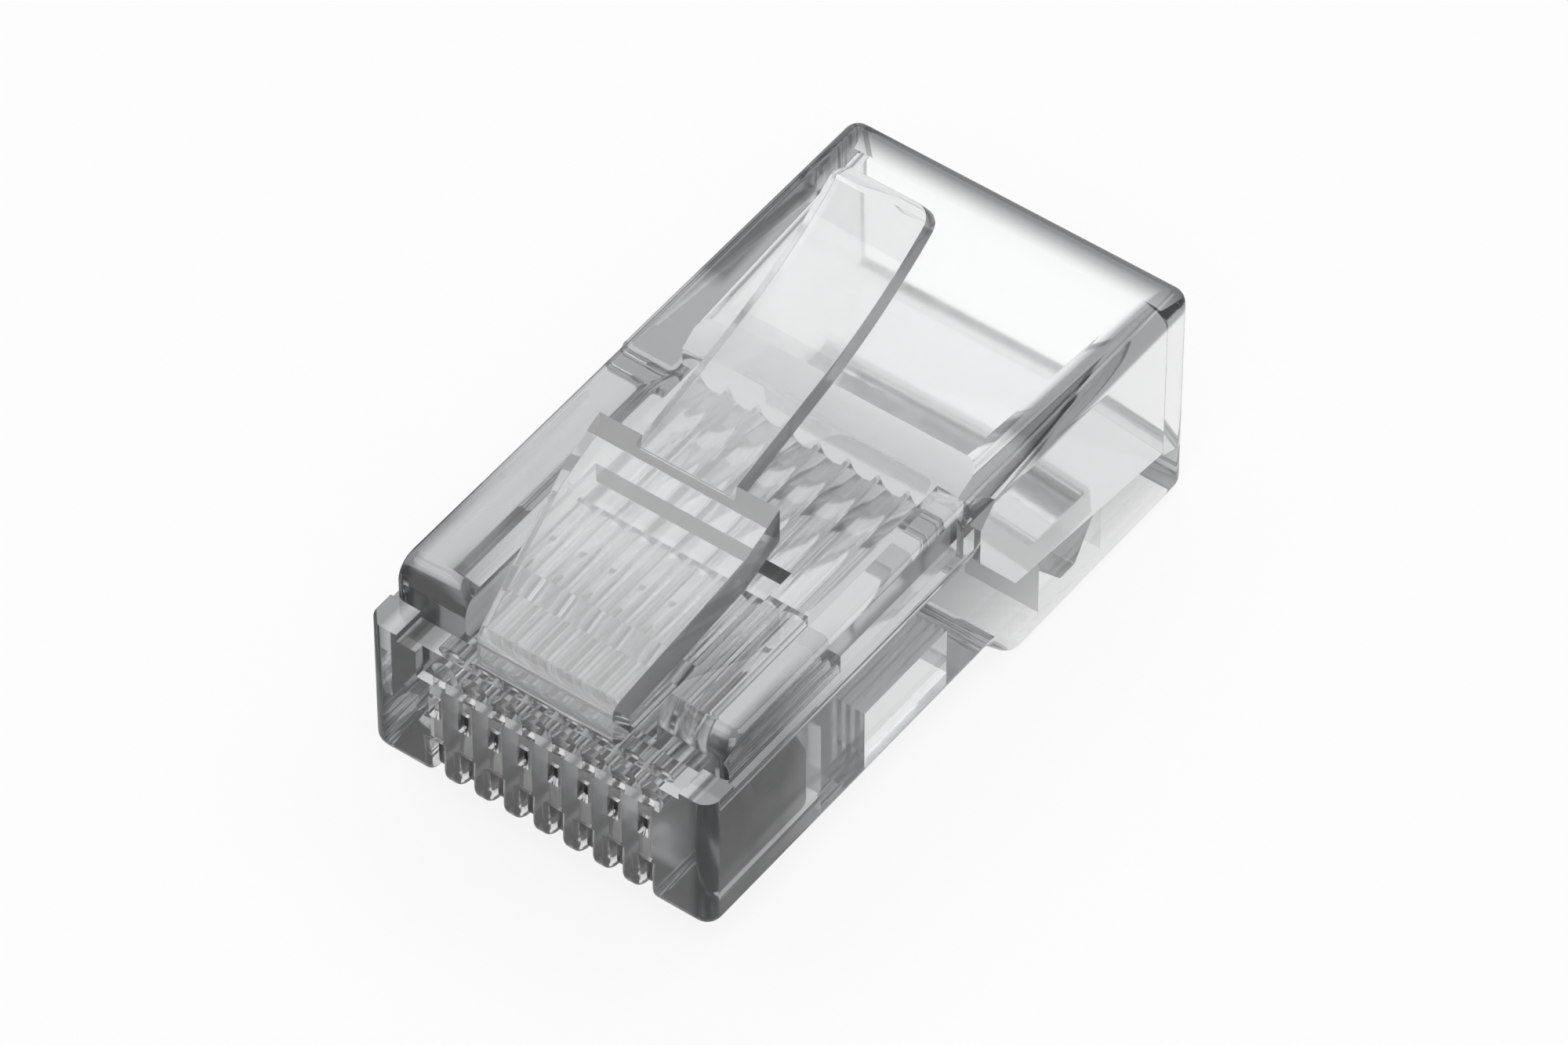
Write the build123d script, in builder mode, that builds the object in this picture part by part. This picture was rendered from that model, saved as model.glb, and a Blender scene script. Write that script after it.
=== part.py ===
from build123d import *
import math
import os

# An eight-way modular plug with its latch on top, its nose towards -Y and its cable entry towards +Y.
# The origin is under the middle of the body, on the plane that the rear of the body stands on.
# All sizes are in millimetres.

# Body of the housing
body_width = 11.68
body_length = 22.5
nose_height = 6.6
rear_drop = 1.4
shoulder_start = 13.0
shoulder_end = 14.2
lip_height = 5.2
lip_depth = 1.1
step_round = 0.75
shoulder_round = 0.7
nose_foot_round = 0.6
edge_round = 0.5

# Ledges along both sides, and the front recess below the latch
ledge_height = 5.05
ledge_depth = 0.22
ledge_end = 11.6
recess_half_width = 4.14
recess_bottom = 3.95
recess_depth = 0.3
lip_notch_half_width = 4.8
lip_notch_height = 4.95

# Well in the top, which the latch sinks into
well_half_width = 3.25
well_deep_floor = 5.3
well_deep_end = 3.0
well_floor = 5.9
well_ramp_end = 3.45
well_end = 7.2

# Conductor ways and contact slots
ways = 8
pitch = 1.02
wire_bore = 0.9
wire_axis_height = 3.9
bore_front = 0.85
guide_start = 6.9
guide_end = 12.9
guide_roof = 4.75
slot_width = 0.44
slot_front = 0.28
slot_rear = 5.9
slot_top = 3.95
slot_mouth_height = 1.7
window_width = 0.36
window_bottom = 2.65
window_top = 3.42
rib_round = 0.18

# Pocket in the underside between the slots and the shoulder
pocket_half_width = 4.2
pocket_start = 7.75
pocket_end = 11.6
pocket_depth = 1.75

# Cable cavity, whose side walls are thicker at its front
side_wall_rear = 0.65
side_wall_front = 1.1
roof_wall = 0.8
cavity_floor_rear = 0.4
cavity_floor_front = 1.15
cavity_floor_end = 14.6
roof_slope_end = 13.9
cavity_round = 0.5
mouth_flare = 0.25
mouth_depth = 0.9

# Hinged bar that clamps the cable jacket, in a window of the floor
bar_window_front = 16.0
bar_window_rear = 19.0
bar_window_half_width = 4.2
bar_clearance = 0.12
bar_top_gap = 0.1
bar_lip = 0.5
bar_ridge_width = 0.7
bar_ridge_place = 17.6
bar_ridge_recess = 0.2
bar_hinge_inset = 0.15

# Latch lever
latch_root_half_width = 2.3
latch_shoulder_half_width = 3.05
latch_handle_half_width = 1.6
latch_front = 0.38
latch_root_thickness = 0.66
latch_root_gap = 0.03
latch_bend_height = 6.55
latch_taper_end = 5.4
latch_shoulder = 6.95
latch_shoulder_height = 9.25
latch_plate_thickness = 1.05
latch_shoulder_thickness = 1.25
latch_bend_round = 0.5
handle_overlap = 0.25
handle_slope = 13.5
handle_straight_end = 10.8
handle_bend_radius = 15.0
handle_tip_angle = 36.0
handle_thickness = 0.74
handle_corner_round = 0.5

# Contact blades, raised as they are before the plug is pressed on to a cable
blade_thickness = 0.34
blade_front = 0.36
blade_rear = 5.3
blade_bottom = 0.12
blade_shoulder = 2.35
blade_tine_top = 3.22
blade_tine_width = 0.66
blade_tines = 3
blade_front_round = 0.42
blade_rear_round = 0.25

# How far cuts run past a face, and how near an edge lies to a height to be found there
over = 1.0
near = 0.01

front = -body_length / 2
nose_floor = rear_drop
half_width = body_width / 2


def at(back, up):
    """The Y and Z of a point so far behind the nose's front face and above the nose's underside."""
    return (front + back, nose_floor + up)


def facing_nose(back):
    """A plane across the plug, so far behind the nose's front face, that faces the nose."""
    return Plane.XZ.offset(-(front + back))


def way_places():
    """The X of the middle of each conductor way."""
    return [(number - (ways - 1) / 2) * pitch for number in range(ways)]


os.makedirs("parts", exist_ok=True)

# Space for the cable: open at the rear, with a sloping floor, a steep front wall, a sloping roof end,
# side walls that close in towards the front, and rounded corners along the roof
cavity_roof = nose_floor + nose_height - roof_wall
cavity_half_rear = half_width - side_wall_rear
cavity_half_front = half_width - side_wall_front
with BuildPart() as cavity:
    wire_floor = wire_axis_height - wire_bore / 2
    with BuildSketch(Plane.YZ):
        with BuildLine():
            floor_fall = (cavity_floor_front - cavity_floor_rear) / (body_length - cavity_floor_end)
            Polyline(
                at(body_length + over, cavity_floor_rear - floor_fall * over),
                at(cavity_floor_end, cavity_floor_front),
                at(guide_end, wire_floor),
                at(guide_end, guide_roof),
                at(roof_slope_end, nose_height - roof_wall),
                at(body_length + over, nose_height - roof_wall),
                close=True,
            )
        make_face()
    extrude(amount=half_width, both=True)
    with BuildSketch(Plane.XY):
        with BuildLine():
            widening = (cavity_half_rear - cavity_half_front) / (body_length - guide_end)
            widest = cavity_half_rear + widening * over
            Polyline(
                (-cavity_half_front, front + guide_end),
                (cavity_half_front, front + guide_end),
                (widest, front + body_length + over),
                (-widest, front + body_length + over),
                close=True,
            )
        make_face()
    extrude(amount=cavity_roof + over, mode=Mode.INTERSECT)
    roof_edges = cavity.edges().filter_by(lambda edge: abs(edge.center().Z - cavity_roof) < near)
    fillet(roof_edges.filter_by(lambda edge: abs(edge.center().X) > near), radius=cavity_round)

with BuildPart() as housing:
    # Side outline of the body: lip, rounded step, top, cable end, underside with its shoulder, nose
    with BuildSketch(Plane.YZ) as body_side:
        with BuildLine():
            step_radius = min(step_round, nose_height - lip_height - near)
            step_foot = at(lip_depth, nose_height - step_radius)
            step_head = at(lip_depth + step_radius, nose_height)
            step_bulge = (1 - math.sqrt(0.5)) * step_radius
            ThreePointArc(step_foot, at(lip_depth + step_bulge, nose_height - step_bulge), step_head)
            Polyline(
                step_head,
                at(body_length, nose_height),
                at(body_length, -rear_drop),
                at(shoulder_end, -rear_drop),
                at(shoulder_start, 0),
                at(0, 0),
                at(0, lip_height),
                at(lip_depth, lip_height),
                step_foot,
            )
        make_face()
        foot = body_side.vertices().sort_by_distance(Vector(*at(0, 0)))[0]
        fillet(foot, radius=nose_foot_round)
        bends = body_side.vertices().sort_by_distance(Vector(*at(shoulder_start, 0)))[:1]
        bends += body_side.vertices().sort_by_distance(Vector(*at(shoulder_end, -rear_drop)))[:1]
        fillet(bends, radius=shoulder_round)
    extrude(amount=half_width, both=True)

    # Rounded edges along the underside and the top, up the corners of the nose and around the cable end
    side_edges = housing.edges().filter_by(lambda edge: abs(abs(edge.center().X) - half_width) < near)
    low_edges = side_edges.filter_by(lambda edge: edge.center().Z < nose_floor + lip_height - near)
    top_edges = side_edges.filter_by(lambda edge: edge.center().Z > nose_floor + nose_height - near)
    fillet(low_edges + top_edges + housing.faces().sort_by(Axis.Y)[-1].edges(), radius=edge_round)

    # Ledges along both sides, above which the front of the body is narrower
    ledge_length = ledge_end - lip_depth
    with BuildSketch(Plane.XY.offset(nose_floor + ledge_height)):
        for side in (-1, 1):
            with Locations((side * half_width, front + lip_depth + ledge_length / 2)):
                Rectangle(2 * ledge_depth, ledge_length)
    extrude(amount=nose_height, mode=Mode.SUBTRACT)

    # Lowered lip and front recess that the latch rises from
    with BuildSketch(Plane.XY.offset(nose_floor + lip_notch_height)):
        with Locations((0, front + lip_depth / 2)):
            Rectangle(2 * lip_notch_half_width, lip_depth)
    extrude(amount=nose_height, mode=Mode.SUBTRACT)
    with BuildSketch(Plane.XY.offset(nose_floor + recess_bottom)):
        with Locations((0, front)):
            Rectangle(2 * recess_half_width, 2 * recess_depth)
    extrude(amount=nose_height, mode=Mode.SUBTRACT)

    # Well in the top, deep behind the step and shallow below the lever
    with BuildSketch(Plane.YZ):
        with BuildLine():
            Polyline(
                at(0, nose_height + over),
                at(0, well_deep_floor),
                at(well_deep_end, well_deep_floor),
                at(well_ramp_end, well_floor),
                at(well_end, well_floor),
                at(well_end, nose_height + over),
                close=True,
            )
        make_face()
    extrude(amount=well_half_width, both=True, mode=Mode.SUBTRACT)

    # Cable cavity and its flared mouth
    add(cavity.part, mode=Mode.SUBTRACT)
    cavity_floor = nose_floor + cavity_floor_rear
    mouth_width = 2 * (cavity_half_rear + mouth_flare)
    mouth_height = cavity_roof - cavity_floor + 2 * mouth_flare
    with BuildSketch(facing_nose(body_length)):
        with Locations((0, (cavity_roof + cavity_floor) / 2)):
            Rectangle(mouth_width, mouth_height)
    flare = math.degrees(math.atan2(mouth_flare, mouth_depth))
    extrude(amount=mouth_depth, taper=flare, mode=Mode.SUBTRACT)

    # Conductor ways: round bores at the nose, open guide grooves behind them
    with BuildSketch(facing_nose(guide_end + over)):
        with Locations((0, nose_floor + wire_axis_height)):
            with GridLocations(pitch, pitch, ways, 1):
                Circle(wire_bore / 2)
    extrude(amount=guide_end + over - bore_front, mode=Mode.SUBTRACT)
    guide_half_width = (ways - 1) * pitch / 2 + wire_bore / 2
    with BuildSketch(facing_nose(guide_end + over)):
        with Locations((0, nose_floor + (wire_axis_height + guide_roof) / 2)):
            Rectangle(2 * guide_half_width, guide_roof - wire_axis_height)
    extrude(amount=guide_end + over - guide_start, mode=Mode.SUBTRACT)

    # Contact slots, open below and at the foot of the nose, with a small window above
    with BuildSketch(Plane.XY.offset(nose_floor - over)):
        with Locations((0, front + (slot_front + slot_rear) / 2)):
            with GridLocations(pitch, pitch, ways, 1):
                Rectangle(slot_width, slot_rear - slot_front)
    extrude(amount=slot_top + over, mode=Mode.SUBTRACT)
    with BuildSketch(Plane.XY.offset(nose_floor - over)):
        with Locations((0, front)):
            with GridLocations(pitch, pitch, ways, 1):
                Rectangle(slot_width, 2 * slot_front)
    extrude(amount=slot_mouth_height + over, mode=Mode.SUBTRACT)
    with BuildSketch(facing_nose(slot_front)):
        with Locations((0, nose_floor + (window_bottom + window_top) / 2)):
            with GridLocations(pitch, pitch, ways, 1):
                Rectangle(window_width, window_top - window_bottom)
    extrude(amount=slot_front, mode=Mode.SUBTRACT)
    rib_edges = housing.edges().filter_by(Axis.Y).filter_by(
        lambda edge: abs(edge.center().Z - nose_floor) < near and abs(edge.center().X) < ways * pitch / 2
    )
    fillet(rib_edges, radius=rib_round)

    # Pocket in the underside between the contact slots and the shoulder
    with BuildSketch(Plane.XY.offset(nose_floor - over)):
        with Locations((0, front + (pocket_start + pocket_end) / 2)):
            Rectangle(2 * pocket_half_width, pocket_end - pocket_start)
    extrude(amount=pocket_depth + over, mode=Mode.SUBTRACT)

    # Window in the floor for the jacket bar
    with BuildSketch(Plane.XY.offset(-over)):
        with Locations((0, front + (bar_window_front + bar_window_rear) / 2)):
            Rectangle(2 * bar_window_half_width, bar_window_rear - bar_window_front)
    extrude(amount=nose_floor + cavity_floor_front + 2 * over, mode=Mode.SUBTRACT)
housing.part.label = "housing"
export_step(housing.part, "parts/housing.step")

# Jacket bar: a wedge with an outer ridge, hinged along its rear upper edge
bar_rise = (body_length - bar_window_rear) / (body_length - cavity_floor_end)
bar_top = cavity_floor_rear + bar_rise * (cavity_floor_front - cavity_floor_rear) - bar_top_gap
bar_front = bar_window_front + bar_clearance
bar_rear = bar_window_rear - bar_hinge_inset
with BuildPart() as jacket_bar:
    with BuildSketch(Plane.YZ):
        with BuildLine():
            Polyline(
                at(bar_rear, bar_top),
                at(bar_rear, bar_top - bar_lip),
                at(bar_ridge_place + bar_ridge_width / 2, bar_ridge_recess - rear_drop),
                at(bar_ridge_place - bar_ridge_width / 2, bar_ridge_recess - rear_drop),
                at(bar_front, bar_top - bar_lip),
                at(bar_front, bar_top),
                close=True,
            )
        make_face()
    extrude(amount=bar_window_half_width - bar_clearance, both=True)
jacket_bar.part.label = "jacket_bar"
export_step(jacket_bar.part, "parts/jacket_bar.step")

# Latch lever: a tapered plate on a thin root, with lock shoulders and a curved handle.
# It turns about the middle of its rounded foot, which stands on the lowered lip.
hinge_back = latch_front + latch_root_thickness / 2
hinge_height = lip_notch_height + latch_root_gap + latch_root_thickness / 2
with BuildPart() as latch:
    with BuildSketch(Plane.XY.offset(nose_floor)):
        with BuildLine():
            Polyline(
                (-latch_root_half_width, front + latch_front),
                (latch_root_half_width, front + latch_front),
                (latch_shoulder_half_width, front + latch_taper_end),
                (latch_shoulder_half_width, front + latch_shoulder),
                (-latch_shoulder_half_width, front + latch_shoulder),
                (-latch_shoulder_half_width, front + latch_taper_end),
                close=True,
            )
        make_face()
    extrude(amount=latch_shoulder_height + over)
    with BuildSketch(Plane.YZ) as lever_side:
        with BuildLine():
            root_rear = latch_front + latch_root_thickness
            plate_slope = (latch_shoulder_height - latch_bend_height) / (latch_shoulder - latch_front)
            root_top = latch_bend_height + plate_slope * latch_root_thickness
            Polyline(
                at(latch_front, hinge_height),
                at(latch_front, latch_bend_height),
                at(latch_shoulder, latch_shoulder_height),
                at(latch_shoulder, latch_shoulder_height - latch_shoulder_thickness),
                at(root_rear, root_top - latch_plate_thickness),
                at(root_rear, hinge_height),
            )
            ThreePointArc(
                at(root_rear, hinge_height),
                at(hinge_back, hinge_height - latch_root_thickness / 2),
                at(latch_front, hinge_height),
            )
        make_face()
        bend = lever_side.vertices().group_by(Axis.X)[0].sort_by(Axis.Y)[-1]
        fillet(bend, radius=latch_bend_round)
    extrude(amount=latch_shoulder_half_width + over, both=True, mode=Mode.INTERSECT)
    with BuildSketch(Plane.YZ):
        with BuildLine():
            slope = math.radians(handle_slope)
            handle_start = latch_shoulder_height - handle_thickness / 2 / math.cos(slope)
            handle_reach = handle_straight_end - latch_shoulder
            straight = Line(
                at(latch_shoulder - handle_overlap, handle_start - handle_overlap * math.tan(slope)),
                at(handle_straight_end, handle_start + handle_reach * math.tan(slope)),
            )
            JernArc(
                start=straight @ 1,
                tangent=straight % 1,
                radius=handle_bend_radius,
                arc_size=handle_tip_angle - handle_slope,
            )
        trace(line_width=handle_thickness)
    extrude(amount=latch_handle_half_width, both=True)
    tip_edges = latch.faces().sort_by(Axis.Y)[-1].edges().filter_by(Axis.X, reverse=True)
    fillet(tip_edges, radius=handle_corner_round)
latch.part.label = "latch"
export_step(latch.part, "parts/latch.step")

# Contact blades: tines above, a rounded running edge below
for number, place in enumerate(way_places(), start=1):
    with BuildPart() as contact:
        with BuildSketch(Plane.YZ.offset(place - blade_thickness / 2)) as blade_side:
            with BuildLine():
                gap = (blade_rear - blade_front - blade_tines * blade_tine_width) / (blade_tines - 1)
                crown = [at(blade_rear, blade_bottom), at(blade_front, blade_bottom)]
                for tine in range(blade_tines):
                    tine_front = blade_front + tine * (blade_tine_width + gap)
                    tine_rear = tine_front + blade_tine_width
                    crown.append(at(tine_front, blade_shoulder))
                    crown.append(at(tine_front + blade_tine_width / 2, blade_tine_top))
                    crown.append(at(tine_rear, blade_shoulder))
                Polyline(*crown, close=True)
            make_face()
            low = blade_side.vertices().group_by(Axis.Y)[0].sort_by(Axis.X)
            fillet(low[0], radius=blade_front_round)
            fillet(low[-1], radius=blade_rear_round)
        extrude(amount=blade_thickness)
    contact.part.label = f"contact_{number}"
    export_step(contact.part, f"parts/contact_{number}.step")
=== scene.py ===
"""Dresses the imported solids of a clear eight-way modular plug for a product picture.

The solids of the body, the latch lever and the jacket bar get softened edges and clear moulded
plastic. The eight contact blades are stamped anew from their outline. All sizes are in metres.
"""

import logging
import math
from dataclasses import dataclass, field
from enum import Enum

import bmesh
import bpy
from mathutils import Matrix, Vector


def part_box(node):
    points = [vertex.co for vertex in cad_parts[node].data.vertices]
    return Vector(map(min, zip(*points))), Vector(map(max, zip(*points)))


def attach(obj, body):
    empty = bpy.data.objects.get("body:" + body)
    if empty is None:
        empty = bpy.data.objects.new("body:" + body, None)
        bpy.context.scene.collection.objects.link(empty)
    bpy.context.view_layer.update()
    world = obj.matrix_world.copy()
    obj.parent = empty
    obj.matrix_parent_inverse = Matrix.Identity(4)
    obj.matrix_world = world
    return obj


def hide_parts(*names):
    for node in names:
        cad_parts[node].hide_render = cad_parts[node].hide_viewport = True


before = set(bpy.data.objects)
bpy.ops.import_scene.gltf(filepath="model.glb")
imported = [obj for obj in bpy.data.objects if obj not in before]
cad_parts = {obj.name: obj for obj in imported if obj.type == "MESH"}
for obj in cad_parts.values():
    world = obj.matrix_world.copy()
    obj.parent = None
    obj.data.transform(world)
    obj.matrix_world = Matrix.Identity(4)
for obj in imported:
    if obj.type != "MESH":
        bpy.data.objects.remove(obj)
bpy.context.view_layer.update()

log = logging.getLogger("plug")

MM = 0.001
NEAR = 0.001 * MM
FAVOUR_LARGE_FACES = 100
EVEN_BLEND = 0.5

Pair = tuple[float, float]
Triple = tuple[float, float, float]
Socket = bpy.types.NodeSocket
Tree = bpy.types.NodeTree

RISES: Pair = (0.0, 1.0)
FADES: Pair = (1.0, 0.0)


class Body(Enum):
    """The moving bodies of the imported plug."""

    HOUSING = "body"
    LEVER = "lever"
    BAR = "bar"
    BLADES = "blades"


class Slot(Enum):
    """The material slots of the plug's record."""

    PLASTIC = "clear_plastic"
    METAL = "contact_metal"


class ColourMix(Enum):
    """The places of the colour sockets on a Mix node."""

    FACTOR = 0
    FIRST = 6
    SECOND = 7
    RESULT = 2


@dataclass(frozen=True)
class Pattern:
    """One noise pattern.

    Attributes:
        cells: The number of cells in a metre.
        detail: The number of octaves.
        drawn: The factor on each axis that draws it out, or None where it is even.
    """

    cells: float
    detail: float
    drawn: Triple | None = None


class Wires:
    """Adds shader nodes to one node tree and joins them."""

    def __init__(self, tree: Tree) -> None:
        """Takes the tree that the nodes go into.

        Args:
            tree: The node tree of a material, a world or a group.
        """
        self.tree = tree

    def add(self, kind: str, **settings: object) -> bpy.types.Node:
        """Adds one node.

        Args:
            kind: The node's type name, such as ShaderNodeMath.
            **settings: Properties to set on the node.

        Returns:
            The new node.
        """
        node = self.tree.nodes.new(kind)
        for name, value in settings.items():
            setattr(node, name, value)
        return node

    def join(self, source: Socket, target: Socket) -> None:
        """Joins an output socket to an input socket."""
        self.tree.links.new(source, target)

    def noise(self, place: Socket, pattern: Pattern) -> Socket:
        """Adds a noise texture.

        Args:
            place: The coordinates that it reads.
            pattern: What it looks like.

        Returns:
            The noise value, about 0.5 on average.
        """
        if pattern.drawn is not None:
            drawn = self.add("ShaderNodeMapping")
            drawn.inputs["Scale"].default_value = pattern.drawn
            self.join(place, drawn.inputs["Vector"])
            place = drawn.outputs["Vector"]
        node = self.add("ShaderNodeTexNoise")
        node.inputs["Scale"].default_value = pattern.cells
        node.inputs["Detail"].default_value = pattern.detail
        self.join(place, node.inputs["Vector"])
        return node.outputs["Fac"]

    def span(self, value: Socket, reach: Pair, result: Pair = RISES) -> Socket:
        """Maps a value from one range to another, and holds it at the ends.

        Args:
            value: The value to map.
            reach: The two values that become the two results.
            result: What they become.

        Returns:
            The mapped value.
        """
        node = self.add("ShaderNodeMapRange", clamp=True)
        for name, number in zip(("From Min", "From Max", "To Min", "To Max"), reach + result):
            node.inputs[name].default_value = number
        self.join(value, node.inputs["Value"])
        return node.outputs["Result"]

    def sums(self, operation: str, first: Socket, second: Socket | float | None = None) -> Socket:
        """Works out one step of arithmetic.

        Args:
            operation: The Math node's operation.
            first: The first value.
            second: The second value, a plain number, or None where the step takes one value.

        Returns:
            The result.
        """
        node = self.add("ShaderNodeMath", operation=operation)
        self.join(first, node.inputs[0])
        if isinstance(second, float):
            node.inputs[1].default_value = second
        elif second is not None:
            self.join(second, node.inputs[1])
        return node.outputs[0]

    def where_all(self, *masks: Socket) -> Socket:
        """Finds where several masks hold at once.

        Args:
            *masks: The masks, each from 0 to 1.

        Returns:
            Their product.
        """
        held = masks[0]
        for mask in masks[1:]:
            held = self.sums("MULTIPLY", held, mask)
        return held

    def colours(self, mask: Socket, first: Triple, second: Triple) -> Socket:
        """Turns one colour to another where a mask holds.

        Args:
            mask: The mask, from 0 to 1.
            first: The colour at 0.
            second: The colour at 1.

        Returns:
            The mixed colour.
        """
        node = self.add("ShaderNodeMix", data_type="RGBA")
        node.inputs[ColourMix.FIRST.value].default_value = (*first, 1.0)
        node.inputs[ColourMix.SECOND.value].default_value = (*second, 1.0)
        self.join(mask, node.inputs[ColourMix.FACTOR.value])
        return node.outputs[ColourMix.RESULT.value]

    def bump(self, height: Socket, strength: float) -> Socket:
        """Adds a bump of a hundredth of a millimetre.

        Args:
            height: The height pattern.
            strength: How much of the bump shows.

        Returns:
            The bumped normal.
        """
        node = self.add("ShaderNodeBump")
        node.inputs["Strength"].default_value = strength
        node.inputs["Distance"].default_value = 0.01 * MM
        self.join(height, node.inputs["Height"])
        return node.outputs["Normal"]


def new_group(name: str, outputs: tuple[str, ...], inputs: tuple[str, ...] = ()) -> Tree:
    """Starts a shader node group that reads coordinates and puts out plain values.

    Args:
        name: The group's name.
        outputs: The names of its number outputs.
        inputs: The names of its number inputs, which are 1 unless a material says otherwise.

    Returns:
        The empty group.
    """
    group = bpy.data.node_groups.new(name, "ShaderNodeTree")
    group.interface.new_socket("Vector", in_out="INPUT", socket_type="NodeSocketVector")
    for label in inputs:
        socket = group.interface.new_socket(label, in_out="INPUT", socket_type="NodeSocketFloat")
        socket.default_value = 1.0
    for label in outputs:
        group.interface.new_socket(label, in_out="OUTPUT", socket_type="NodeSocketFloat")
    return group


@dataclass(frozen=True)
class MouldedSkin:
    """The skin of polished mouldings: flow ripples and faint handling haze.

    Attributes:
        broad: The broad ripples, drawn out along the flow.
        fine: The fine ripples.
        fine_share: How deep the fine ripples are, next to the broad ones.
        patches: The hazy patches.
        patch_reach: The noise values between which a patch sets in.
        wipes: The marks of wiping.
        wipe_reach: The noise values between which a mark sets in.
        wipe_share: How hazy a mark is, next to a patch.
    """

    broad: Pattern = Pattern(420.0, 1.0, (1.0, 0.35, 1.0))
    fine: Pattern = Pattern(2600.0, 2.0)
    fine_share: float = 0.12
    patches: Pattern = Pattern(240.0, 3.0)
    patch_reach: Pair = (0.42, 0.72)
    wipes: Pattern = Pattern(900.0, 1.0, (14.0, 0.6, 9.0))
    wipe_reach: Pair = (0.6, 0.74)
    wipe_share: float = 0.6

    def group(self) -> Tree:
        """Makes the node group.

        Returns:
            A group with the inputs Ripple and Wear and the outputs Height and Haze.
        """
        group = new_group("moulded_skin", ("Height", "Haze"), ("Ripple", "Wear"))
        wires = Wires(group)
        given = wires.add("NodeGroupInput")
        result = wires.add("NodeGroupOutput")
        place = given.outputs["Vector"]
        fine = wires.sums("MULTIPLY", wires.noise(place, self.fine), self.fine_share)
        ripple = wires.sums("ADD", wires.noise(place, self.broad), fine)
        height = wires.sums("MULTIPLY", ripple, given.outputs["Ripple"])
        wires.join(height, result.inputs["Height"])
        patches = wires.span(wires.noise(place, self.patches), self.patch_reach)
        marks = wires.span(wires.noise(place, self.wipes), self.wipe_reach, (0.0, self.wipe_share))
        haze = wires.sums("MULTIPLY", wires.sums("ADD", patches, marks), given.outputs["Wear"])
        wires.join(haze, result.inputs["Haze"])
        return group


@dataclass(frozen=True)
class BodyZones:
    """Places on the body, found from where its surface lies.

    Each pair is where a mask starts to change and where it has changed, unless it says otherwise.
    Some of the masks mark where shade is painted on the skin.

    Attributes:
        side: The outer side skin, out from the middle.
        top: The outer top skin, up.
        front: The outer front skin, back.
        rear: The outer skin of the cable end, back.
        shoulder: Where the underside drops to the cable end.
        undersides: The height just above the underside, at the nose and at the cable end.
        underside_skin: The underside's skin, up from that height.
        comb_top: The top of the contact slots.
        comb_rear: Their rear end.
        comb_side: The sides of the comb, out from the middle.
        cavity: The front and the rear of the cable cavity.
        cavity_reach: How far the cavity reaches to each side there.
        over_wall: The roof over the walls beside the cavity, out from the cavity.
        wall_start: The front end of those walls.
        mouth: The roof over the flared mouth.
        roof: The roof's outer skin, up.
        nose_flank: The flanks of the nose, out from the middle.
        nose_share: How much of the painted shade the flanks get.
        nose_end: Where the painted shade on the flanks fades.
    """

    side: Pair = (5.48 * MM, 5.56 * MM)
    top: Pair = (7.86 * MM, 7.92 * MM)
    front: Pair = (-10.94 * MM, -10.88 * MM)
    rear: Pair = (11.14 * MM, 11.22 * MM)
    shoulder: Pair = (1.6 * MM, 3.1 * MM)
    undersides: Pair = (1.46 * MM, 0.08 * MM)
    underside_skin: Pair = (0.0, 0.06 * MM)
    comb_top: Pair = (5.2 * MM, 5.3 * MM)
    comb_rear: Pair = (-5.3 * MM, -5.2 * MM)
    comb_side: Pair = (3.9 * MM, 4.0 * MM)
    cavity: Pair = (3.5 * MM, 11.2 * MM)
    cavity_reach: Pair = (4.75 * MM, 5.1 * MM)
    over_wall: Pair = (-0.1 * MM, 0.12 * MM)
    wall_start: Pair = (3.2 * MM, 3.9 * MM)
    mouth: Pair = (9.9 * MM, 10.7 * MM)
    roof: Pair = (7.2 * MM, 7.4 * MM)
    nose_flank: Pair = (5.1 * MM, 5.4 * MM)
    nose_share: float = 0.9
    nose_end: Pair = (-8.0 * MM, -4.5 * MM)

    def group(self) -> Tree:
        """Makes the node group.

        Returns:
            A group with three outputs: Core is 0 on the outer skin and 1 in the slots, bores and
            cavity, Comb is 1 on the walls of the contact slots, and the last is where shade is
            painted: 1 on the roof over the thick side walls and the flared mouth, 0.9 on the nose's
            flanks.
        """
        group = new_group("body_zones", ("Core", "Comb", "PaintedShade"))
        wires = Wires(group)
        given = wires.add("NodeGroupInput")
        result = wires.add("NodeGroupOutput")
        parts = wires.add("ShaderNodeSeparateXYZ")
        wires.join(given.outputs["Vector"], parts.inputs[0])
        back, up = parts.outputs["Y"], parts.outputs["Z"]
        across = wires.sums("ABSOLUTE", parts.outputs["X"])

        underside = wires.span(back, self.shoulder, self.undersides)
        core = wires.where_all(
            wires.span(across, self.side, FADES),
            wires.span(up, self.top, FADES),
            wires.span(back, self.front, RISES),
            wires.span(back, self.rear, FADES),
            wires.span(wires.sums("SUBTRACT", up, underside), self.underside_skin, RISES),
        )
        wires.join(core, result.inputs["Core"])

        comb = wires.where_all(
            wires.span(up, self.comb_top, FADES),
            wires.span(back, self.comb_rear, FADES),
            wires.span(across, self.comb_side, FADES),
            core,
        )
        wires.join(comb, result.inputs["Comb"])

        # Painted shade: darker skin on the roof over the thick side walls and the flared mouth, and
        # on the nose's flanks, in place of light lost in the walls.
        cavity_side = wires.span(back, self.cavity, self.cavity_reach)
        over_wall = wires.where_all(
            wires.span(wires.sums("SUBTRACT", across, cavity_side), self.over_wall, RISES),
            wires.span(back, self.wall_start, RISES),
        )
        rim_shade = wires.sums("MAXIMUM", over_wall, wires.span(back, self.mouth, RISES))
        rim_shade = wires.where_all(rim_shade, wires.span(up, self.roof, RISES))
        flank_shade = wires.where_all(
            wires.span(across, self.nose_flank, (0.0, self.nose_share)),
            wires.span(back, self.nose_end, FADES),
        )
        wires.join(wires.sums("MAXIMUM", rim_shade, flank_shade), result.inputs["PaintedShade"])
        return group


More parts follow.
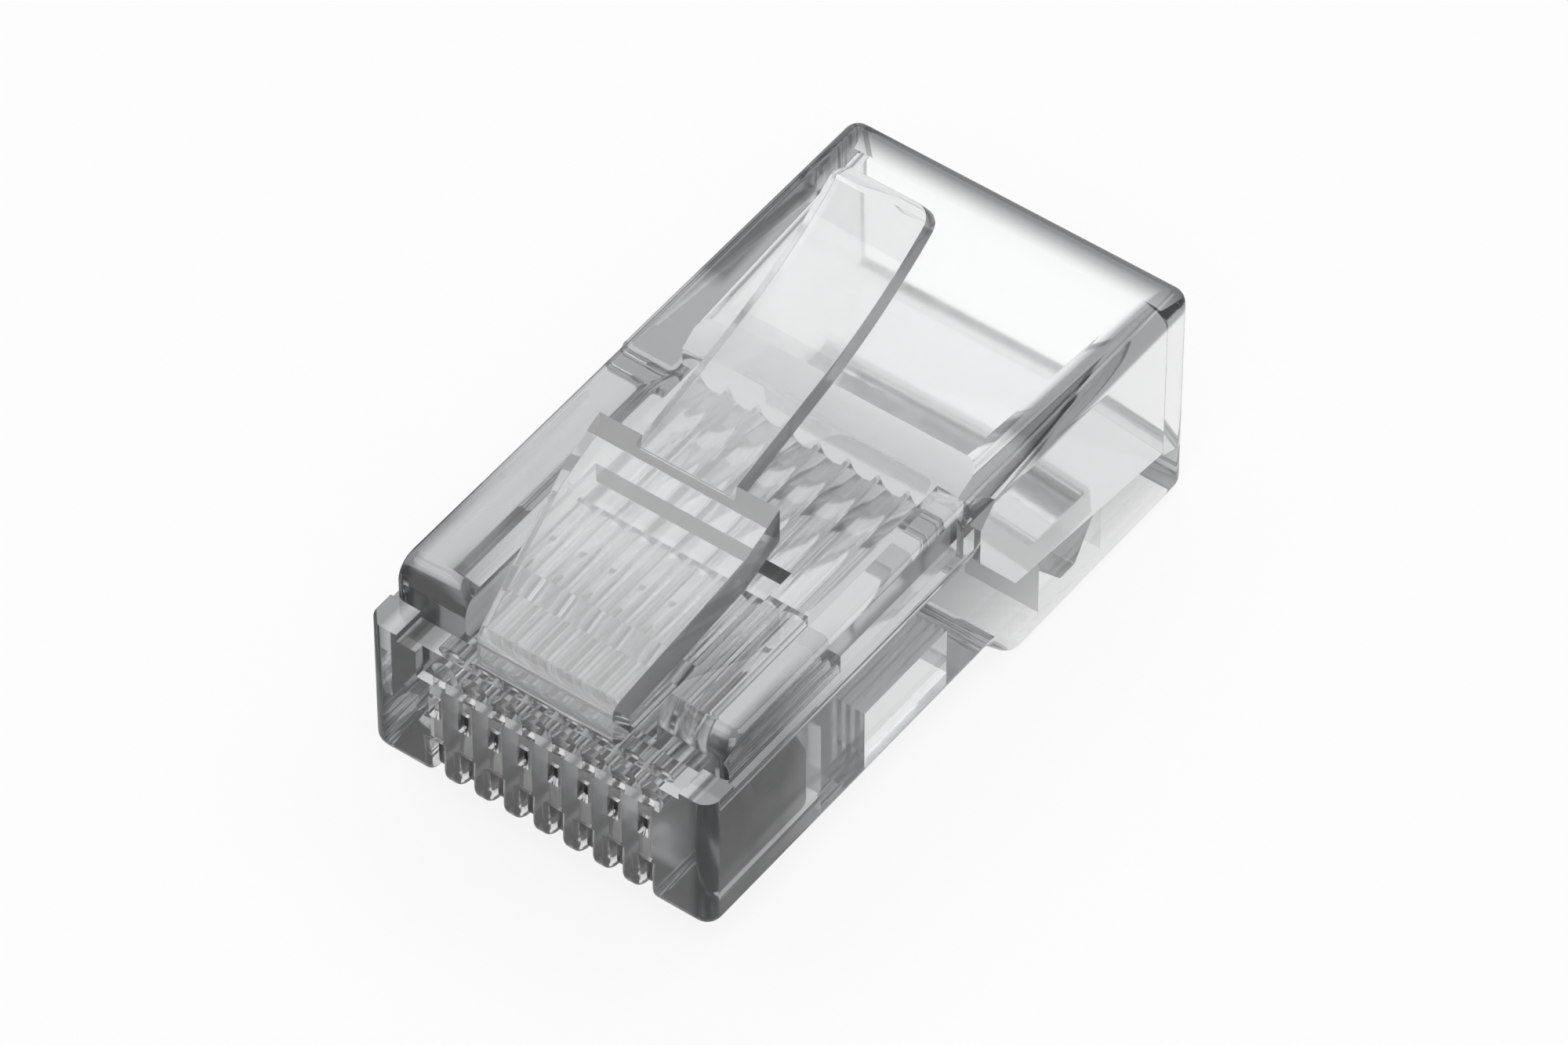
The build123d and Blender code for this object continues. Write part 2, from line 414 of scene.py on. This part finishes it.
@dataclass(frozen=True)
class DrawnGrain:
    """The grain of rolled and stamped metal.

    Attributes:
        lines: The grain, drawn out along the strip.
        spots: The spots of tarnish.
        spot_reach: The noise values between which tarnish sets in.
    """

    lines: Pattern = Pattern(4200.0, 2.0, (1.0, 0.5, 12.0))
    spots: Pattern = Pattern(900.0, 3.0)
    spot_reach: Pair = (0.4, 0.7)

    def group(self) -> Tree:
        """Makes the node group.

        Returns:
            A group with the input Grain and the outputs Height and Tarnish.
        """
        group = new_group("drawn_grain", ("Height", "Tarnish"), ("Grain",))
        wires = Wires(group)
        given = wires.add("NodeGroupInput")
        result = wires.add("NodeGroupOutput")
        place = given.outputs["Vector"]
        lines = wires.noise(place, self.lines)
        height = wires.sums("MULTIPLY", lines, given.outputs["Grain"])
        wires.join(height, result.inputs["Height"])
        tarnish = wires.span(wires.noise(place, self.spots), self.spot_reach)
        wires.join(tarnish, result.inputs["Tarnish"])
        return group


@dataclass(frozen=True)
class ClearPlastic:
    """Clear polycarbonate as it comes from a polished mould.

    Attributes:
        name: The material's name.
        tint: The colour that light keeps on its way through.
        polish: The roughness of untouched skin.
        rub: The roughness of the haziest spots.
        haziest: The haze at which the skin is that rough.
        ripple: How deep the flow ripples are.
        wear: How much of the handling haze shows.
        relief: How much of the ripples' bump shows.
        index: The refractive index.
        clarity: The share of the light that the skin lets through instead of scattering it.
        murk: The colour that a thick wall turns to.
        murk_density: How much light a metre of wall takes out.
        shade: The colour of the painted shade, which stands in for light lost in a thick wall or at
            an edge.
        slant_shade: Whether skin that is seen at a slant gets that painted shade.
        slant: How far the skin is turned away where that starts, and where it is complete.
        core_roughness: The further roughness of what the mould's core shapes, or 0 for no core.
        Where it is not 0, the body also gets painted shade over its thick walls and nose flanks.
        comb_roughness: The further roughness of the spark-cut walls of the contact slots.
    """

    name: str
    tint: Triple = (0.985, 0.99, 0.992)
    polish: float = 0.012
    rub: float = 0.06
    haziest: float = 1.6
    ripple: float = 1.0
    wear: float = 1.0
    relief: float = 0.05
    index: float = 1.58
    clarity: float = 0.94
    murk: Triple = (0.49, 0.505, 0.51)
    murk_density: float = 155.0
    shade: Triple = (0.18, 0.187, 0.19)
    slant_shade: bool = False
    slant: Pair = (0.45, 0.62)
    core_roughness: float = 0.0
    comb_roughness: float = 0.06

    def material(self, skin: Tree, zones: Tree) -> bpy.types.Material:
        """Builds the material.

        Args:
            skin: The group from MouldedSkin.
            zones: The group from BodyZones.

        Returns:
            The finished material.
        """
        made = bpy.data.materials.new(self.name)
        made.use_nodes = True
        wires = Wires(made.node_tree)
        shader = made.node_tree.nodes["Principled BSDF"]
        shader.inputs["Base Color"].default_value = (*self.tint, 1.0)
        shader.inputs["Metallic"].default_value = 0.0
        shader.inputs["Transmission Weight"].default_value = self.clarity
        shader.inputs["IOR"].default_value = self.index
        wall = wires.add("ShaderNodeVolumeAbsorption")
        wall.inputs["Color"].default_value = (*self.murk, 1.0)
        wall.inputs["Density"].default_value = self.murk_density
        wires.join(wall.outputs[0], made.node_tree.nodes["Material Output"].inputs["Volume"])

        place = wires.add("ShaderNodeTexCoord").outputs["Object"]
        surface = wires.add("ShaderNodeGroup", node_tree=skin)
        wires.join(place, surface.inputs["Vector"])
        surface.inputs["Ripple"].default_value = self.ripple
        surface.inputs["Wear"].default_value = self.wear
        rough = wires.span(surface.outputs["Haze"], (0.0, self.haziest), (self.polish, self.rub))
        # Painted shade: the base colour turns to the shade colour where a mask holds.
        shaded = None
        # Painted shade on skin that is seen at a slant.
        if self.slant_shade:
            facing = wires.add("ShaderNodeLayerWeight")
            facing.inputs["Blend"].default_value = EVEN_BLEND
            shaded = wires.span(facing.outputs["Facing"], self.slant)
        if self.core_roughness:
            inside = wires.add("ShaderNodeGroup", node_tree=zones)
            wires.join(place, inside.inputs["Vector"])
            for zone, more in (("Core", self.core_roughness), ("Comb", self.comb_roughness)):
                added = wires.sums("MULTIPLY", inside.outputs[zone], more)
                rough = wires.sums("ADD", rough, added)
            # Painted shade over the body's thick walls, its flared mouth and its nose flanks.
            shaded = inside.outputs["PaintedShade"]
        if shaded is not None:
            tone = wires.colours(shaded, self.tint, self.shade)
            wires.join(tone, shader.inputs["Base Color"])
        wires.join(rough, shader.inputs["Roughness"])
        normal = wires.bump(surface.outputs["Height"], self.relief)
        wires.join(normal, shader.inputs["Normal"])
        return made


@dataclass(frozen=True)
class PlatedMetal:
    """Stamped and plated contact metal.

    Attributes:
        name: The material's name.
        bright: The colour of clean plating.
        dull: The colour of tarnished plating.
        roughness: The roughness of clean plating.
        tarnish_roughness: The further roughness of tarnished plating.
        relief: How much of the grain's bump shows.
    """

    name: str
    bright: Triple = (0.22, 0.215, 0.205)
    dull: Triple = (0.12, 0.117, 0.11)
    roughness: float = 0.28
    tarnish_roughness: float = 0.16
    relief: float = 0.3

    def material(self, grain: Tree) -> bpy.types.Material:
        """Builds the material.

        Args:
            grain: The group from DrawnGrain.

        Returns:
            The finished material.
        """
        made = bpy.data.materials.new(self.name)
        made.use_nodes = True
        wires = Wires(made.node_tree)
        shader = made.node_tree.nodes["Principled BSDF"]
        shader.inputs["Metallic"].default_value = 1.0
        place = wires.add("ShaderNodeTexCoord").outputs["Object"]
        surface = wires.add("ShaderNodeGroup", node_tree=grain)
        wires.join(place, surface.inputs["Vector"])
        tarnish = surface.outputs["Tarnish"]
        tone = wires.colours(tarnish, self.bright, self.dull)
        wires.join(tone, shader.inputs["Base Color"])
        dulled = (self.roughness, self.roughness + self.tarnish_roughness)
        wires.join(wires.span(tarnish, RISES, dulled), shader.inputs["Roughness"])
        normal = wires.bump(surface.outputs["Height"], self.relief)
        wires.join(normal, shader.inputs["Normal"])
        return made


def bevel(bm: bmesh.types.BMesh, edges: list[bmesh.types.BMEdge], width: float, steps: int) -> None:
    """Rounds edges of a mesh.

    Args:
        bm: The mesh.
        edges: The edges.
        width: How far the rounding reaches along each face.
        steps: The number of steps in it.
    """
    bmesh.ops.bevel(
        bm,
        geom=edges,
        offset=width,
        offset_type="OFFSET",
        segments=steps,
        profile=0.5,
        affect="EDGES",
        clamp_overlap=True,
        material=-1,
    )


@dataclass(frozen=True)
class SoftEdge:
    """The small rounding that a mould or a tumbling drum leaves on edges.

    Attributes:
        width: How far the rounding reaches along each face.
        steps: The number of steps in it.
        sharper_than: The least angle, in degrees, of an edge that is rounded.
    """

    width: float = 0.04 * MM
    steps: int = 2
    sharper_than: float = 40.0

    def round_off(self, bm: bmesh.types.BMesh) -> None:
        """Rounds the sharp edges of a closed mesh.

        Args:
            bm: The mesh.
        """
        least = math.radians(self.sharper_than)
        closed = [edge for edge in bm.edges if edge.is_manifold]
        sharp = [edge for edge in closed if edge.calc_face_angle(0.0) > least]
        bevel(bm, sharp, self.width, self.steps)


def finished_piece(
    bm: bmesh.types.BMesh, name: str, material: bpy.types.Material, smooth_under: float = 32.0
) -> bpy.types.Object:
    """Turns a bmesh into an object with smooth rounds and crisp edges.

    Args:
        bm: The shape, in the frame of the solids. It is freed.
        name: The piece's name.
        material: The piece's material.
        smooth_under: The largest angle, in degrees, that is shaded as a round.

    Returns:
        The object, which sits at the origin.
    """
    mesh = bpy.data.meshes.new(name)
    bm.to_mesh(mesh)
    bm.free()
    mesh.polygons.foreach_set("use_smooth", [True] * len(mesh.polygons))
    mesh.set_sharp_from_angle(angle=math.radians(smooth_under))
    mesh.materials.append(material)
    piece = bpy.data.objects.new(name, mesh)
    bpy.context.scene.collection.objects.link(piece)
    even = piece.modifiers.new("even_shading", "WEIGHTED_NORMAL")
    even.mode = "FACE_AREA"
    even.weight = FAVOUR_LARGE_FACES
    even.keep_sharp = True
    return piece


@dataclass
class MouldedPart:
    """A moulded solid whose sharp edges are softened and which is dressed in clear plastic.

    Attributes:
        node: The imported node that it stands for.
        body: The body that it rides on.
        plastic: Its finish.
        edge: The rounding of its edges.
        merge_reach: How near each other two corners are made one.
        flat_under: The angle, in degrees, under which neighbouring facets are one flat face.
    """

    node: str
    body: Body
    plastic: ClearPlastic
    edge: SoftEdge = field(default_factory=SoftEdge)
    merge_reach: float = 0.0002 * MM
    flat_under: float = 0.5

    def shape(self) -> bmesh.types.BMesh:
        """Merges a copy of the node and softens its edges.

        Returns:
            The closed mesh.
        """
        bm = bmesh.new()
        bm.from_mesh(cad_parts[self.node].data)
        bmesh.ops.remove_doubles(bm, verts=bm.verts[:], dist=self.merge_reach)
        flat = math.radians(self.flat_under)
        bmesh.ops.dissolve_limit(bm, angle_limit=flat, verts=bm.verts[:], edges=bm.edges[:])
        self.edge.round_off(bm)
        return bm

    def build(self, skin: Tree, zones: Tree) -> bpy.types.Object:
        """Makes the piece and puts it in the node's place.

        Args:
            skin: The group from MouldedSkin.
            zones: The group from BodyZones.

        Returns:
            The finished piece.
        """
        plastic = self.plastic.material(skin, zones)
        piece = finished_piece(self.shape(), "clear_" + self.node, plastic)
        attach(piece, self.body.value)
        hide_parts(self.node)
        return piece


@dataclass
class ContactComb:
    """The eight blades in the nose, with sharpened tines above and rounded contact edges below.

    Attributes:
        ways: The number of blades.
        tines: The number of tines on each blade.
        tine_width: How wide a tine is at its foot.
        tine_height: How far a tine rises above the blade.
        tip_share: The share of the thickness that is left at a tine's tip.
        front_round: The radius of the corner that the jack's spring runs on to.
        rear_round: The radius of the rear corner.
        round_steps: The number of steps in those two.
        plating: Their finish.
        edge: The rounding that the press leaves.
    """

    ways: int = 8
    tines: int = 3
    tine_width: float = 0.66 * MM
    tine_height: float = 0.87 * MM
    tip_share: float = 0.35
    front_round: float = 0.42 * MM
    rear_round: float = 0.25 * MM
    round_steps: int = 8
    plating: PlatedMetal = PlatedMetal("plated_contact")
    edge: SoftEdge = SoftEdge(0.025 * MM, 2, 30.0)

    def outline(self, low: Vector, high: Vector) -> list[Vector]:
        """Lays out a blade's corners on its left side.

        Args:
            low: The lowest corner of the blade's node.
            high: The highest corner of the blade's node.

        Returns:
            The corners, from the lower front corner over the tines to the lower rear corner.
        """
        foot = high.z - self.tine_height
        pitch = (high.y - low.y - self.tine_width) / (self.tines - 1)
        corners = [Vector((low.x, low.y, low.z))]
        for tine in range(self.tines):
            front = low.y + tine * pitch
            corners.append(Vector((low.x, front, foot)))
            corners.append(Vector((low.x, front + self.tine_width / 2, high.z)))
            corners.append(Vector((low.x, front + self.tine_width, foot)))
        return corners + [Vector((low.x, high.y, low.z))]

    def round_corner(self, bm: bmesh.types.BMesh, back: float, up: float, radius: float) -> None:
        """Rounds the edge that runs through the blade's thickness at one corner.

        Args:
            bm: The blade.
            back: The corner's Y.
            up: The corner's Z.
            radius: The radius of the rounding.
        """
        edges = [
            edge
            for edge in bm.edges
            if all(abs(end.co.y - back) < NEAR and abs(end.co.z - up) < NEAR for end in edge.verts)
        ]
        bevel(bm, edges, radius, self.round_steps)

    def blade(self, number: int) -> bmesh.types.BMesh:
        """Stamps one blade, rounds its lower corners, sharpens its tines and softens its edges.

        Args:
            number: The blade's number, from 1.

        Returns:
            The closed mesh.
        """
        low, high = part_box(f"contact_{number}")
        bm = bmesh.new()
        side = bm.faces.new([bm.verts.new(corner) for corner in self.outline(low, high)])
        pressed = bmesh.ops.extrude_face_region(bm, geom=[side])
        far = [item for item in pressed["geom"] if isinstance(item, bmesh.types.BMVert)]
        bmesh.ops.translate(bm, verts=far, vec=(high.x - low.x, 0.0, 0.0))
        self.round_corner(bm, low.y, low.z, self.front_round)
        self.round_corner(bm, high.y, low.z, self.rear_round)
        cut = bm.verts[:] + bm.edges[:] + bm.faces[:]
        foot = Vector((0.0, 0.0, high.z - self.tine_height))
        bmesh.ops.bisect_plane(bm, geom=cut, plane_co=foot, plane_no=(0.0, 0.0, 1.0), dist=NEAR)
        tips = [corner for corner in bm.verts if corner.co.z > high.z - NEAR]
        middle = Matrix.Translation((-(low.x + high.x) / 2, 0.0, 0.0))
        bmesh.ops.scale(bm, verts=tips, vec=(self.tip_share, 1.0, 1.0), space=middle)
        bmesh.ops.recalc_face_normals(bm, faces=bm.faces[:])
        self.edge.round_off(bm)
        return bm

    def build(self, grain: Tree) -> list[bpy.types.Object]:
        """Makes all the blades.

        Args:
            grain: The group from DrawnGrain.

        Returns:
            The finished blades.
        """
        metal = self.plating.material(grain)
        blades = []
        for number in range(1, self.ways + 1):
            piece = finished_piece(self.blade(number), f"blade_{number}", metal)
            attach(piece, Body.BLADES.value)
            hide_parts(f"contact_{number}")
            blades.append(piece)
        return blades


@dataclass(frozen=True)
class SoftLamp:
    """A square lamp that faces the plug.

    Attributes:
        name: Its name.
        place: Where it hangs.
        size: Its side.
        power: Its power in watts.
    """

    name: str
    place: Triple
    size: float
    power: float

    def hang(self) -> None:
        """Adds the lamp to the scene."""
        data = bpy.data.lights.new(self.name, "AREA")
        data.shape = "SQUARE"
        data.size = self.size
        data.energy = self.power
        lamp = bpy.data.objects.new(self.name, data)
        lamp.location = self.place
        lamp.rotation_euler = (-Vector(self.place)).to_track_quat("-Z", "Y").to_euler()
        bpy.context.scene.collection.objects.link(lamp)


@dataclass
class Studio:
    """The plain pale floor, the sky of the studio and its soft lamps.

    Attributes:
        floor_size: The floor's side.
        floor_colour: Its colour.
        backdrop: How much of the plain white shows where the camera sees the floor.
        pool_centre: The middle of the pool of light painted on the floor by the cable end.
        pool: How far from there the pool starts to fade, and how far it reaches.
        pool_edge: How bright the floor beyond the pool looks through the plastic.
        sheen: How bright the floor is in reflections.
        greys: The heights of the sky, from 0 at the floor to 1 overhead, and their greys.
        glow: How much brighter the walls and the ceiling look through the plastic.
        lamps: The lamps.
    """

    floor_size: float = 3.0
    floor_colour: Triple = (0.86, 0.86, 0.86)
    backdrop: float = 0.85
    pool_centre: Triple = (0.0, 13.0 * MM, 0.0)
    pool: Pair = (8.0 * MM, 24.0 * MM)
    pool_edge: float = 0.85
    sheen: float = 0.6
    greys: tuple[Pair, ...] = ((0.0, 0.42), (0.5, 0.462), (1.0, 0.5))
    glow: float = 1.6
    lamps: tuple[SoftLamp, ...] = (
        SoftLamp("main_lamp", (0.35, -0.55, 0.85), 0.7, 5.0),
        SoftLamp("latch_lamp", (-0.32, -0.1, 0.72), 0.3, 0.3),
        SoftLamp("top_lamp", (0.3, 0.5, 1.0), 0.5, 2.0),
        SoftLamp("rear_lamp", (-0.363, 0.49, 0.662), 0.5, 0.9),
    )

    def floor_material(self) -> bpy.types.Material:
        """Makes a matt floor that looks white to the camera and keeps the plug's shadow.

        Returns:
            The finished material.
        """
        made = bpy.data.materials.new("pale_floor")
        made.use_nodes = True
        wires = Wires(made.node_tree)
        made.node_tree.nodes.remove(made.node_tree.nodes["Principled BSDF"])
        matt = wires.add("ShaderNodeBsdfDiffuse")
        matt.inputs["Color"].default_value = (*self.floor_colour, 1.0)
        white = wires.add("ShaderNodeEmission")
        path = wires.add("ShaderNodeLightPath")
        camera, mirrored, through = (
            path.outputs[f"Is {kind} Ray"] for kind in ("Camera", "Glossy", "Transmission")
        )
        # Painted pool of light: the floor glows brighter near the cable end in reflections and
        # through the plastic.
        reach = wires.add("ShaderNodeVectorMath", operation="DISTANCE")
        wires.join(wires.add("ShaderNodeTexCoord").outputs["Object"], reach.inputs[0])
        reach.inputs[1].default_value = self.pool_centre
        pool = wires.span(reach.outputs["Value"], self.pool, (1.0, self.pool_edge))
        lit = wires.sums("MULTIPLY", pool, wires.span(through, RISES, (self.sheen, 1.0)))
        wires.join(wires.sums("MAXIMUM", lit, camera), white.inputs["Strength"])
        seen = wires.sums("MULTIPLY", camera, self.backdrop)
        seen = wires.sums("MAXIMUM", seen, mirrored)
        seen = wires.sums("MAXIMUM", seen, through)
        blend = wires.add("ShaderNodeMixShader")
        for number, source in enumerate((seen, matt.outputs[0], white.outputs[0])):
            wires.join(source, blend.inputs[number])
        wires.join(blend.outputs[0], made.node_tree.nodes["Material Output"].inputs["Surface"])
        return made

    def floor(self) -> bpy.types.Object:
        """Lays the floor.

        Returns:
            The floor.
        """
        bm = bmesh.new()
        bmesh.ops.create_grid(bm, x_segments=1, y_segments=1, size=self.floor_size / 2)
        mesh = bpy.data.meshes.new("floor")
        bm.to_mesh(mesh)
        bm.free()
        mesh.materials.append(self.floor_material())
        floor = bpy.data.objects.new("floor", mesh)
        bpy.context.scene.collection.objects.link(floor)
        return floor

    def sky(self) -> None:
        """Paints the world: dim walls all round and a slightly brighter ceiling."""
        world = bpy.data.worlds.new("studio")
        world.use_nodes = True
        bpy.context.scene.world = world
        wires = Wires(world.node_tree)
        background = world.node_tree.nodes["Background"]
        parts = wires.add("ShaderNodeSeparateXYZ")
        wires.join(wires.add("ShaderNodeTexCoord").outputs["Generated"], parts.inputs[0])
        ramp = wires.add("ShaderNodeValToRGB")
        elements = ramp.color_ramp.elements
        elements.remove(elements[-1])
        elements[0].position = self.greys[0][0]
        for height, _ in self.greys[1:]:
            elements.new(height)
        for element, (_, grey) in zip(elements, self.greys):
            element.color = (grey, grey, grey, 1.0)
        wires.join(parts.outputs["Z"], ramp.inputs[0])
        wires.join(ramp.outputs[0], background.inputs["Color"])
        through = wires.add("ShaderNodeLightPath").outputs["Is Transmission Ray"]
        strength = wires.span(through, RISES, (1.0, self.glow))
        wires.join(strength, background.inputs["Strength"])

    def build(self) -> None:
        """Sets up the floor, the sky and the lamps."""
        self.floor()
        self.sky()
        for lamp in self.lamps:
            lamp.hang()


@dataclass
class PhotoCamera:
    """The camera at the photograph's angle.

    Attributes:
        turn: Its azimuth in degrees, to the right of straight on.
        rise: Its elevation in degrees.
        distance: Its distance from what it looks at.
        target: What it looks at.
        scale: How many pixels of the picture one millimetre at the target fills.
        picture_width: The width of the picture in pixels.
        sensor: The width of its sensor in millimetres.
        clip: The nearest and the farthest that it sees.
    """

    turn: float = 36.5
    rise: float = 47.4
    distance: float = 0.3
    target: Triple = (0.0, 0.0, 4.4 * MM)
    scale: float = 46.0
    picture_width: int = 2000
    sensor: float = 36.0
    clip: Pair = (0.01, 20.0)

    def build(self) -> None:
        """Makes the camera and hands it to the scene."""
        data = bpy.data.cameras.new("photo_camera")
        data.sensor_width = self.sensor
        data.lens = self.sensor * self.scale * self.distance / MM / self.picture_width
        data.clip_start, data.clip_end = self.clip
        turn, rise = math.radians(self.turn), math.radians(self.rise)
        level = math.cos(rise)
        away = Vector((math.sin(turn) * level, -math.cos(turn) * level, math.sin(rise)))
        camera = bpy.data.objects.new("photo_camera", data)
        camera.location = Vector(self.target) + away * self.distance
        camera.rotation_euler = away.to_track_quat("Z", "Y").to_euler()
        bpy.context.scene.collection.objects.link(camera)
        bpy.context.scene.camera = camera


def main() -> None:
    """Builds the plug's pieces, the studio and the camera, and reports each piece."""
    logging.basicConfig(level=logging.INFO, format="%(name)s: %(message)s")
    bpy.context.scene.view_settings.view_transform = "Standard"
    skin = MouldedSkin().group()
    zones = BodyZones().group()
    grain = DrawnGrain().group()
    # The body gets painted shade over its thick walls, flared mouth and nose flanks; the lever gets
    # painted shade on its slanted skin.
    body_plastic = ClearPlastic("clear_body", core_roughness=0.07)
    lever_plastic = ClearPlastic(
        "clear_lever", wear=1.4, clarity=0.8, shade=(0.12, 0.125, 0.13), slant_shade=True
    )
    mouldings = (
        MouldedPart("housing", Body.HOUSING, body_plastic),
        MouldedPart("latch", Body.LEVER, lever_plastic),
        MouldedPart("jacket_bar", Body.BAR, ClearPlastic("clear_bar")),
    )
    pieces = [part.build(skin, zones) for part in mouldings]
    pieces += ContactComb().build(grain)
    for piece in pieces:
        log.info("%s: %d faces", piece.name, len(piece.data.polygons))
    Studio().build()
    PhotoCamera().build()


if __name__ == "__main__":
    main()
